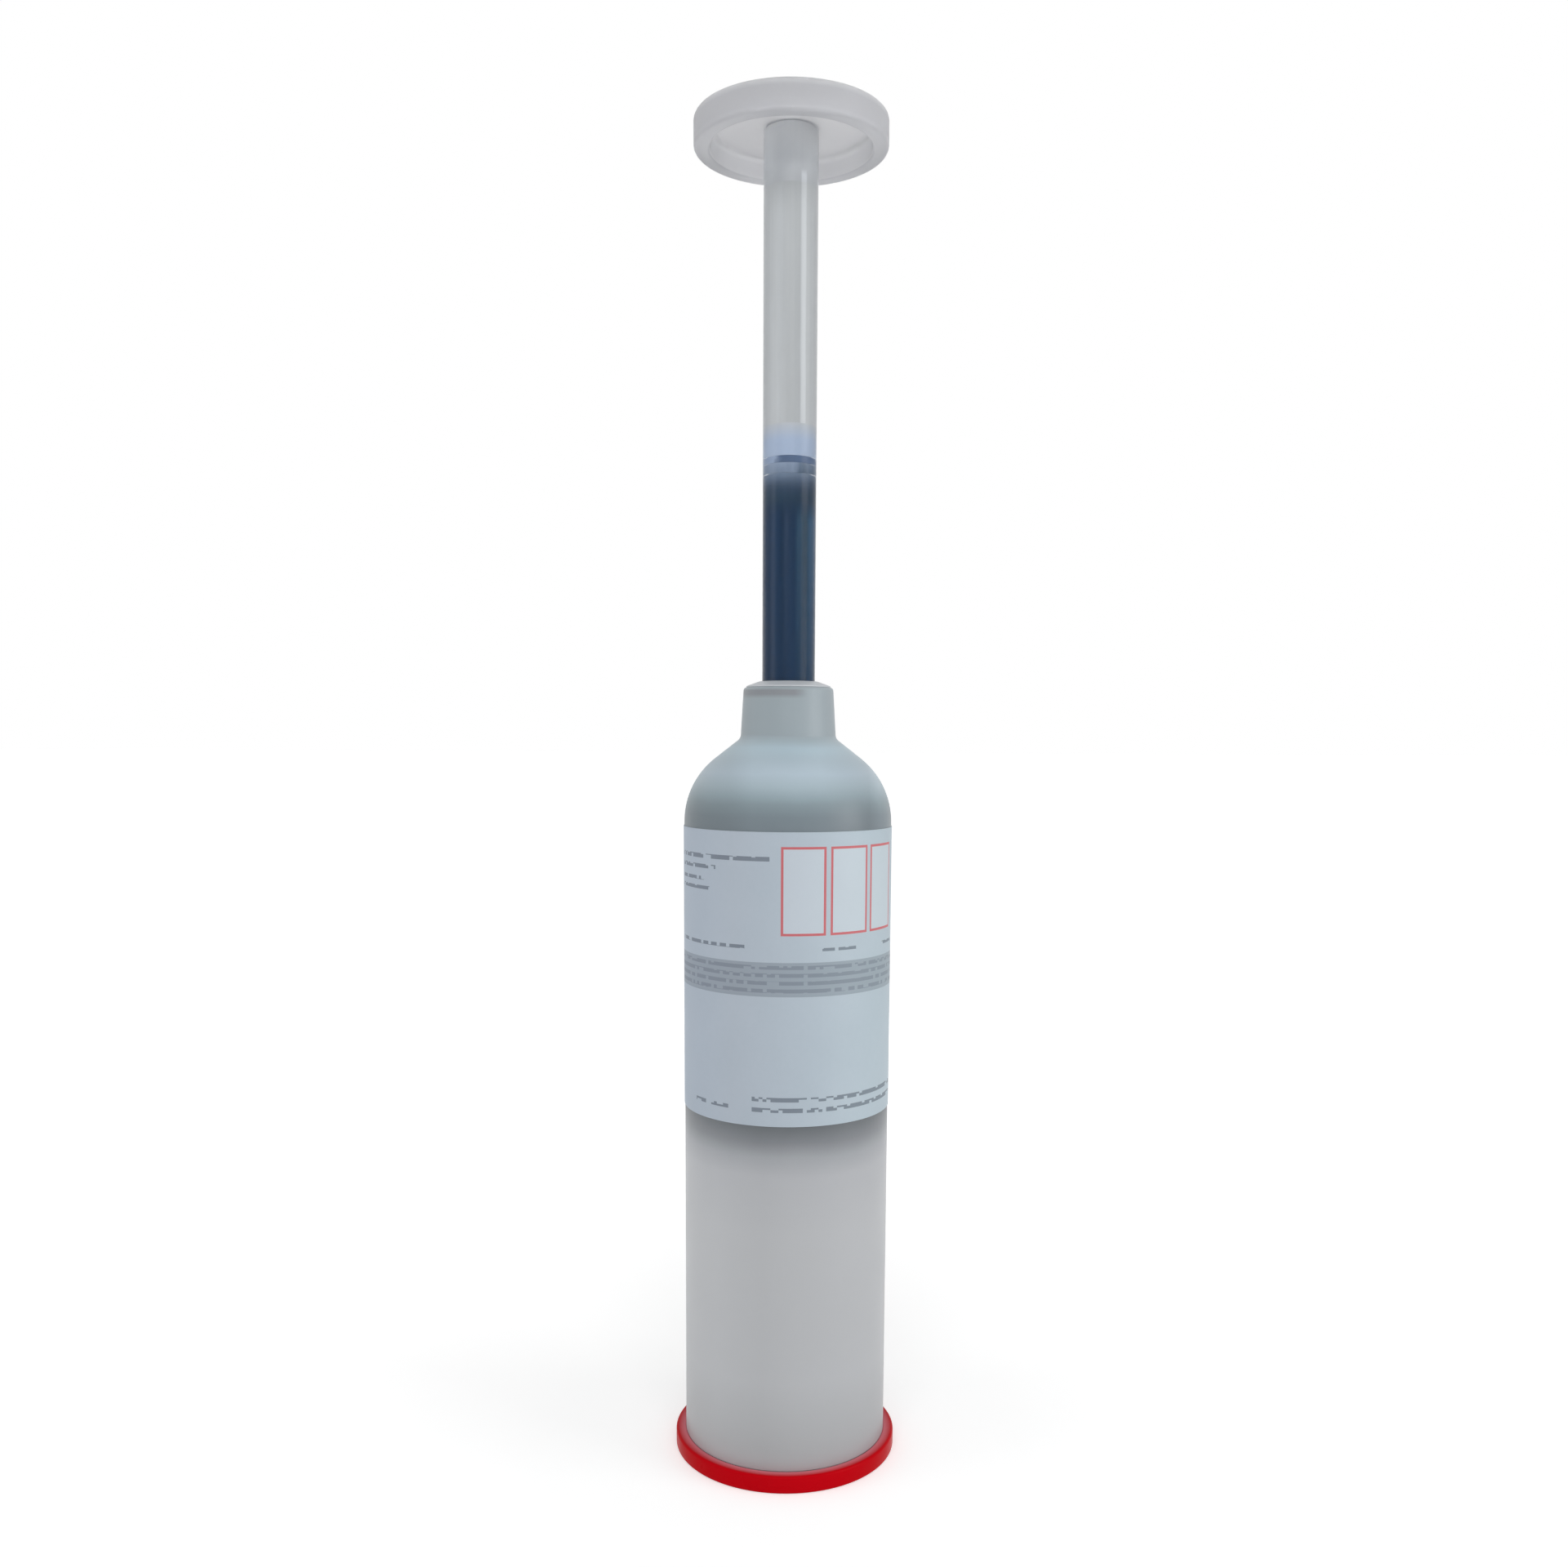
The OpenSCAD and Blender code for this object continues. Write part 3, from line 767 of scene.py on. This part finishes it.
# Painted shade on the right of the plug; near its foot the bore's painted highlight streak runs on.
plug_light = light_across(tree, place, [(-5, 1.13), (-2, 1.1), (0, 1.03), (2.5, 0.92), (5, 0.87)])
foot_light = light_across(tree, place, [
    (-5, 1.13), (-2, 1.1), (0, 1.0), (2.0, 0.92), (2.3, 1.2), (3.1, 1.2), (3.4, 0.9), (5, 0.87),
])
near_foot = fade(tree, along_axis(tree, place, UPWARD), spigot_foot + 2.8, spigot_foot + 1.6)
plug_light = blend_colours(tree, near_foot, plug_light, foot_light)
fill(tree, shader, {"Base Color": tinted(tree, plug_tone_and_painted_light, plug_light), "Specular IOR Level": 0})
handle.data.materials.append(milky_plug)
for face in handle.data.polygons:
    in_tube = math.hypot(*face.center[:2]) < tube_r * MM and face.center.z < ceiling * MM
    face.material_index = int(in_tube)

# %% [markdown]
# ## Fluids
# The hardener is a deep blue. Painted streaks of light run up it from the side and fade towards
# its foot. Its top clears over a few millimetres, where it creeps up round the piston's foot, and
# painted shade darkens it towards the right. The resin is a thick blue-grey paste that is hidden by
# the barrel, but it still gets a finish of its own for the sectioned model.

# %% Finish the hardener and the resin
dark_fluid, tree, shader, place = new_finish("hardener")
height = along_axis(tree, place, UPWARD)
swirl = noise(tree, stretch(tree, place, share=0.02), scale=420)
plain, blue_side, violet_streak = (1, 1, 1, 1), (1, 1.18, 1.25, 1), (2.2, 1.45, 1.25, 1)
lit_streak, deep_side, bright_edge = (2.5, 2, 1.55, 1), (0.35, 1.05, 0.9, 1), (2.5, 2.3, 1.9, 1)
# Painted streaks of light across the hardener.
painted_light_streaks = tint_along(tree, place, ACROSS, [
    (-4.2, blue_side), (-2.2, blue_side), (-1.5, plain), (-0.8, violet_streak), (0.3, plain),
    (1.2, plain), (1.9, lit_streak), (2.4, lit_streak), (3.0, deep_side), (3.7, deep_side),
    (4.3, bright_edge),
])
high_up = fade(tree, height, fluid_top - 42, fluid_top - 12, low=0.35)
deep = blend_colours(tree, swirl, seen(14, 39, 63), seen(34, 57, 85))
deep = tinted(tree, deep, painted_light_streaks, share=high_up)
clearing = tint_along(tree, place, UPWARD, [
    (fluid_top - 9, seen(26, 50, 78)), (fluid_top - 3.6, seen(43, 65, 86)),
    (fluid_top - 2.1, seen(52, 71, 93)), (fluid_top - 1.1, seen(68, 84, 105)),
    (fluid_top, seen(90, 106, 129)), (fluid_top + foot_h, seen(115, 131, 152)),
], wobble=2)
# Painted shade across the hardener's top, darker on the right.
shaded = light_across(tree, place, [(-5, 1.0), (-2, 0.95), (0, 0.82), (3, 0.72), (5, 0.72)])
near_top = fade(tree, height, fluid_top - 9, fluid_top - 5)
fill(tree, shader, {
    "Base Color": blend_colours(tree, near_top, deep, tinted(tree, clearing, shaded)),
    "Roughness": work_out(tree, "MULTIPLY_ADD", swirl, 0.2, 0.3),
    "Specular IOR Level": 0,
})
dress(dark_fluid, hardener)

paste, tree, shader, place = new_finish("resin paste")
cloud = add_skin(tree, shader, place, grain=600, gloss=0.35, wander=0.3, depth=0.05)
blue_greys = blend_colours(tree, cloud, seen(104, 118, 124), seen(132, 146, 150))
fill(tree, shader, {"Base Color": blue_greys})
dress(paste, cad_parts["resin"])

# %% [markdown]
# ## The stained piston and the rubber
# Above its seal the piston is a pale blue; below it a film of hardener has crept past the land in
# tongues, more on the right. The stain is a noise stretched upwards and pushed by the height and
# the side, and a tint across the piston is painted light and shade. The seal and the valve are
# rubber, and the seal is wet from the right.

# %% Finish the piston, the seal and the valve
stained, tree, shader, place = new_finish("stained piston")
side, height = along_axis(tree, place, ACROSS), along_axis(tree, place, UPWARD)
tongues = noise(tree, stretch(tree, place, share=0.25), scale=480)
depth_below = fade(tree, height, seal_foot, piston_foot, low=0.36, high=0.62)
to_right = fade(tree, side, 0.8, 2.2, high=0.3)
pushed = work_out(tree, "ADD", depth_below, to_right)
wet = swing(tree, tongues, reach=0.4, middle=pushed, clamp=True)
below_seal = work_out(tree, "LESS_THAN", height, (seal_foot + seal_top) / 2 * MM)
film = times(tree, wet, below_seal)
above = fade(tree, height, piston_top - 3.5, piston_top)
lands = blend_colours(tree, above, seen(165, 179, 201), seen(184, 187, 191))
stain = blend_colours(tree, film, lands, seen(44, 66, 88))
# Painted light and shade across the piston, lighter on the left, darker on the right.
piston_light = light_across(tree, place, [(-5, 1.13), (-2, 1.08), (0, 1.0), (2, 0.92), (5, 0.87)])
fill(tree, shader, {
    "Base Color": tinted(tree, stain, piston_light),
    "Roughness": work_out(tree, "MULTIPLY_ADD", film, -0.15, 0.45),
    "Specular IOR Level": 0,
})
dress(stained, piston)

wet_seal, tree, shader, place = new_finish("wet seal")
side = along_axis(tree, place, ACROSS)
ragged = swing(tree, noise(tree, place, scale=600), reach=3 * MM, middle=side)
wetted = fade(tree, ragged, -3.4, -1.6)
fill(tree, shader, {
    "Base Color": blend_colours(tree, wetted, seen(150, 166, 192), seen(86, 103, 131)),
    "Roughness": 0.4, "Specular IOR Level": 0,
})
dress(wet_seal, seal)

rubber, tree, shader, place = new_finish("soft rubber")
cloud = add_skin(tree, shader, place, grain=3000, gloss=0.6, wander=0.2, depth=0.01)
dark_blues = blend_colours(tree, cloud, seen(52, 66, 90), seen(78, 94, 118))
fill(tree, shader, {"Base Color": dark_blues})
dress(rubber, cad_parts["dasher_valve"])

# %% [markdown]
# ## The camera
# The camera stands at the height of the barrel's neck, a short arm's length away. From there the
# handle is seen from below and the cap from above. It looks down by about seven degrees, so the
# barrel narrows a little towards the cap; the frame is then moved up the picture plane to hold the
# whole object, as when a larger picture is trimmed.

# %% Place the camera
IMAGE_SIDE = 1920
FOCAL_PIXELS = 1755.1
FRAME_UP_PIXELS = 148.4
SENSOR = 36
CAMERA_AT = (-0.98, -333.4, 171.83)
CAMERA_TILT = 0.12
CAMERA_ROLL = math.radians(-0.28)
lens = bpy.data.cameras.new("camera")
lens.sensor_width = SENSOR
lens.lens = FOCAL_PIXELS / IMAGE_SIDE * SENSOR
lens.shift_y = FRAME_UP_PIXELS / IMAGE_SIDE
lens.clip_start, lens.clip_end = 0.01, 50
camera = bpy.data.objects.new("camera", lens)
camera.location = [x * MM for x in CAMERA_AT]
camera.rotation_euler = (math.pi / 2 - CAMERA_TILT, CAMERA_ROLL, 0)
bpy.context.scene.collection.objects.link(camera)
bpy.context.scene.camera = camera
print("lens in mm:", round(lens.lens, 2))

# %% [markdown]
# ## The studio
# A pale floor runs on into a white world. For rays that come straight from the camera, or by gloss
# or glass, both are white; for light that falls on the object the world stays at a lower level, and
# soft lamps do the rest. The floor still takes a shadow, because its own light is added to what
# falls on it, and that light is weaker near the object, where the lamps already make the floor
# white.

# %% Build the floor and the world
def seen_straight(tree):
    """1 for rays from the camera, also by gloss or glass, till a matt surface scatters them."""
    rays = put(tree, "LightPath").outputs
    direct = work_out(tree, "MAXIMUM", rays["Is Camera Ray"], rays["Is Glossy Ray"])
    direct = work_out(tree, "MAXIMUM", direct, rays["Is Transmission Ray"])
    return times(tree, direct, work_out(tree, "LESS_THAN", rays["Diffuse Depth"], 0.5))


FLOOR_HALF = 12.0
GLOW_FROM, GLOW_TO = 60, 300
GLOW_NEAR, GLOW_FAR = 0.42, 0.64
slab = bmesh.new()
bmesh.ops.create_grid(slab, x_segments=1, y_segments=1, size=FLOOR_HALF)
floor = finish_mesh("floor", slab)
pale_floor, tree, shader, place = new_finish("pale floor")
glow = fade(tree, off_axis(tree, place), GLOW_FROM, GLOW_TO, GLOW_NEAR, GLOW_FAR)
fill(tree, shader, {
    "Base Color": (0.82, 0.82, 0.82, 1), "Roughness": 0.9,
    "Emission Color": times(tree, seen_straight(tree), glow), "Emission Strength": 1,
})
dress(pale_floor, floor)

AMBIENT = 0.42
world = bpy.data.worlds.new("white room")
bpy.context.scene.world = world
world.use_nodes = True
tree = world.node_tree
brightness = work_out(tree, "MULTIPLY_ADD", seen_straight(tree), 1 - AMBIENT, AMBIENT)
fill(tree, tree.nodes["Background"], {"Color": (1, 1, 1, 1), "Strength": brightness})

# %% [markdown]
# ## Lamps
# A tall soft box on the right gives the upright highlights on the rod and the dome. A wide one
# above the camera fills the front, and a weaker one on the left keeps that side from going flat. A
# low one behind the object shines up into the handle's dish. Only the first may show as a
# reflection.

# %% Hang the lamps
def soft_box(name, place_at, aim, size, power):
    """A rectangular lamp that faces a point."""
    lamp = bpy.data.lights.new(name, "AREA")
    lamp.shape, lamp.size, lamp.size_y, lamp.energy = "RECTANGLE", size[0], size[1], power
    holder = bpy.data.objects.new(name, lamp)
    holder.location = place_at
    holder.rotation_euler = (Vector(aim) - Vector(place_at)).to_track_quat("-Z", "Y").to_euler()
    bpy.context.scene.collection.objects.link(holder)
    print(name, power, "W")
    return holder


middle, dish = (0, 0, 0.16), (0, 0, 0.31)
soft_box("right box", (0.75, -0.3, 0.15), middle, size=(0.45, 0.8), power=3.1)
front_box = soft_box("front box", (0, -0.95, 0.75), middle, size=(0.9, 0.6), power=4.4)
left_box = soft_box("left box", (-0.8, -0.25, 0.15), middle, size=(0.35, 0.7), power=1.5)
low_box = soft_box("low box", (0, 0.55, 0.02), dish, size=(0.8, 0.3), power=1.1)
for box in (front_box, left_box, low_box):
    box.visible_glossy = box.visible_camera = False
bpy.context.scene.view_settings.view_transform = "Standard"
